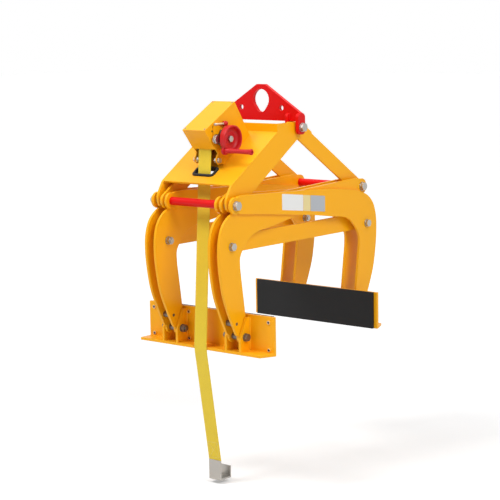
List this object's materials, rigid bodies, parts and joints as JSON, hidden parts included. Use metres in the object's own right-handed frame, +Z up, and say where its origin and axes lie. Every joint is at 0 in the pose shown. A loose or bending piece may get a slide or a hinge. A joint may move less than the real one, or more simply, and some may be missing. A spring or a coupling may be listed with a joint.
{
  "type": "scissor clamp",
  "caption": "Scissor clamp that hangs from a hoist and grips a stone block between two long jaws, with a strap winch on its front link.",
  "frame": {"origin": "bearing point at the top of the suspension eye", "axes": "+X along the pivots and the jaws' length, +Y the gripping direction towards the rear jaw, +Z up"},
  "size_m": [0.5, 0.773, 1.2028],
  "materials": {
    "yellow_paint": "semi-gloss powder coat",
    "red_paint": "semi-gloss powder coat",
    "zinc": "zinc plated",
    "webbing": "woven polyester",
    "rubber": "matt"
  },
  "bodies": {
    "hanger": {"hanger_plate": "red_paint", "outer_cheek_near": "red_paint", "outer_cheek_far": "red_paint", "inner_cheek_near": "red_paint", "inner_cheek_far": "red_paint", "top_pivot_bolts": "zinc", "top_pivot_spacers": "zinc"},
    "front_links": {"front_link_channel": "yellow_paint", "front_link_inner_near": "yellow_paint", "front_link_inner_far": "yellow_paint", "strap_slot_guard": "rubber", "winch_side_near": "yellow_paint", "winch_side_far": "yellow_paint", "winch_cover": "yellow_paint", "winch_bolts": "zinc", "strap": "webbing", "strap_hook": "zinc", "front_side_bolt": "zinc", "front_side_spacers": "zinc", "front_side_tube": "red_paint"},
    "winch_reel": {"winch_shaft": "zinc", "strap_drum": "zinc", "wound_strap": "webbing", "ratchet_wheel": "zinc", "hand_wheel": "red_paint", "wheel_grip": "red_paint"},
    "winch_pawl": {"pawl": "yellow_paint", "pawl_knob": "red_paint"},
    "rear_arms": {"rear_arm_inner_near": "yellow_paint", "rear_arm_inner_far": "yellow_paint", "rear_arm_outer_near": "yellow_paint", "rear_arm_outer_far": "yellow_paint", "rear_stay_bolts": "zinc", "rear_tie_rods": "zinc", "cross_pins": "zinc"},
    "rear_links": {"rear_link_near": "yellow_paint", "rear_link_far": "yellow_paint", "rear_side_bolt": "zinc", "rear_side_spacers": "zinc", "rear_side_tube": "red_paint"},
    "front_arms": {"front_arm_inner_near": "yellow_paint", "front_arm_inner_far": "yellow_paint", "front_arm_outer_near": "yellow_paint", "front_arm_outer_far": "yellow_paint", "front_stay_bolts": "zinc", "front_tie_rods": "zinc"},
    "stay_bars": {"stay_bar_near": "yellow_paint", "stay_bar_far": "yellow_paint"},
    "front_jaw": {"front_jaw": "yellow_paint", "front_jaw_lining": "rubber", "front_jaw_screws": "yellow_paint", "front_jaw_bolts": "zinc"},
    "rear_jaw": {"rear_jaw": "yellow_paint", "rear_jaw_lining": "rubber", "rear_jaw_screws": "yellow_paint", "rear_jaw_bolts": "zinc"}
  },
  "joints": [
    {"name": "front_link_swing", "type": "hinge", "parent": "hanger", "child": "front_links", "pos_m": [0, 0, -0.114], "axis": [1, 0, 0], "range_deg": [0, 4]},
    {"name": "rear_link_swing", "type": "hinge", "parent": "hanger", "child": "rear_links", "pos_m": [0, 0, -0.114], "axis": [-1, 0, 0], "range_deg": [0, 4]},
    {"name": "grip", "type": "hinge", "parent": "front_links", "child": "rear_arms", "pos_m": [0, -0.319, -0.3234], "axis": [-1, 0, 0], "range_deg": [0, 18.9]},
    {"name": "front_arm_swing", "type": "hinge", "parent": "rear_links", "child": "front_arms", "pos_m": [0, 0.319, -0.3234], "axis": [1, 0, 0], "range_deg": [0, 19]},
    {"name": "stay_bar_swing", "type": "hinge", "parent": "rear_arms", "child": "stay_bars", "pos_m": [0, 0.331, -0.443], "axis": [1, 0, 0], "range_deg": [0, 15.1]},
    {"name": "front_jaw_tilt", "type": "hinge", "parent": "front_arms", "child": "front_jaw", "pos_m": [0, -0.286, -0.718], "axis": [-1, 0, 0], "range_deg": [0, 15.1]},
    {"name": "rear_jaw_tilt", "type": "hinge", "parent": "rear_arms", "child": "rear_jaw", "pos_m": [0, 0.286, -0.718], "axis": [1, 0, 0], "range_deg": [0, 15.1]},
    {"name": "winch_turn", "type": "hinge", "parent": "front_links", "child": "winch_reel", "pos_m": [0, -0.23785, -0.13616], "axis": [1, 0, 0], "continuous": true},
    {"name": "pawl_lift", "type": "hinge", "parent": "front_links", "child": "winch_pawl", "pos_m": [0, -0.27978, -0.13498], "axis": [1, 0, 0], "range_deg": [0, 25]}
  ],
  "couplings": [
    {"joint": "front_link_swing", "follows": "grip", "ratio": 0.20635},
    {"joint": "rear_link_swing", "follows": "grip", "ratio": 0.20635},
    {"joint": "front_arm_swing", "follows": "grip", "ratio": 1},
    {"joint": "stay_bar_swing", "follows": "grip", "ratio": 0.79365},
    {"joint": "front_jaw_tilt", "follows": "grip", "ratio": 0.79365},
    {"joint": "rear_jaw_tilt", "follows": "grip", "ratio": 0.79365}
  ]
}
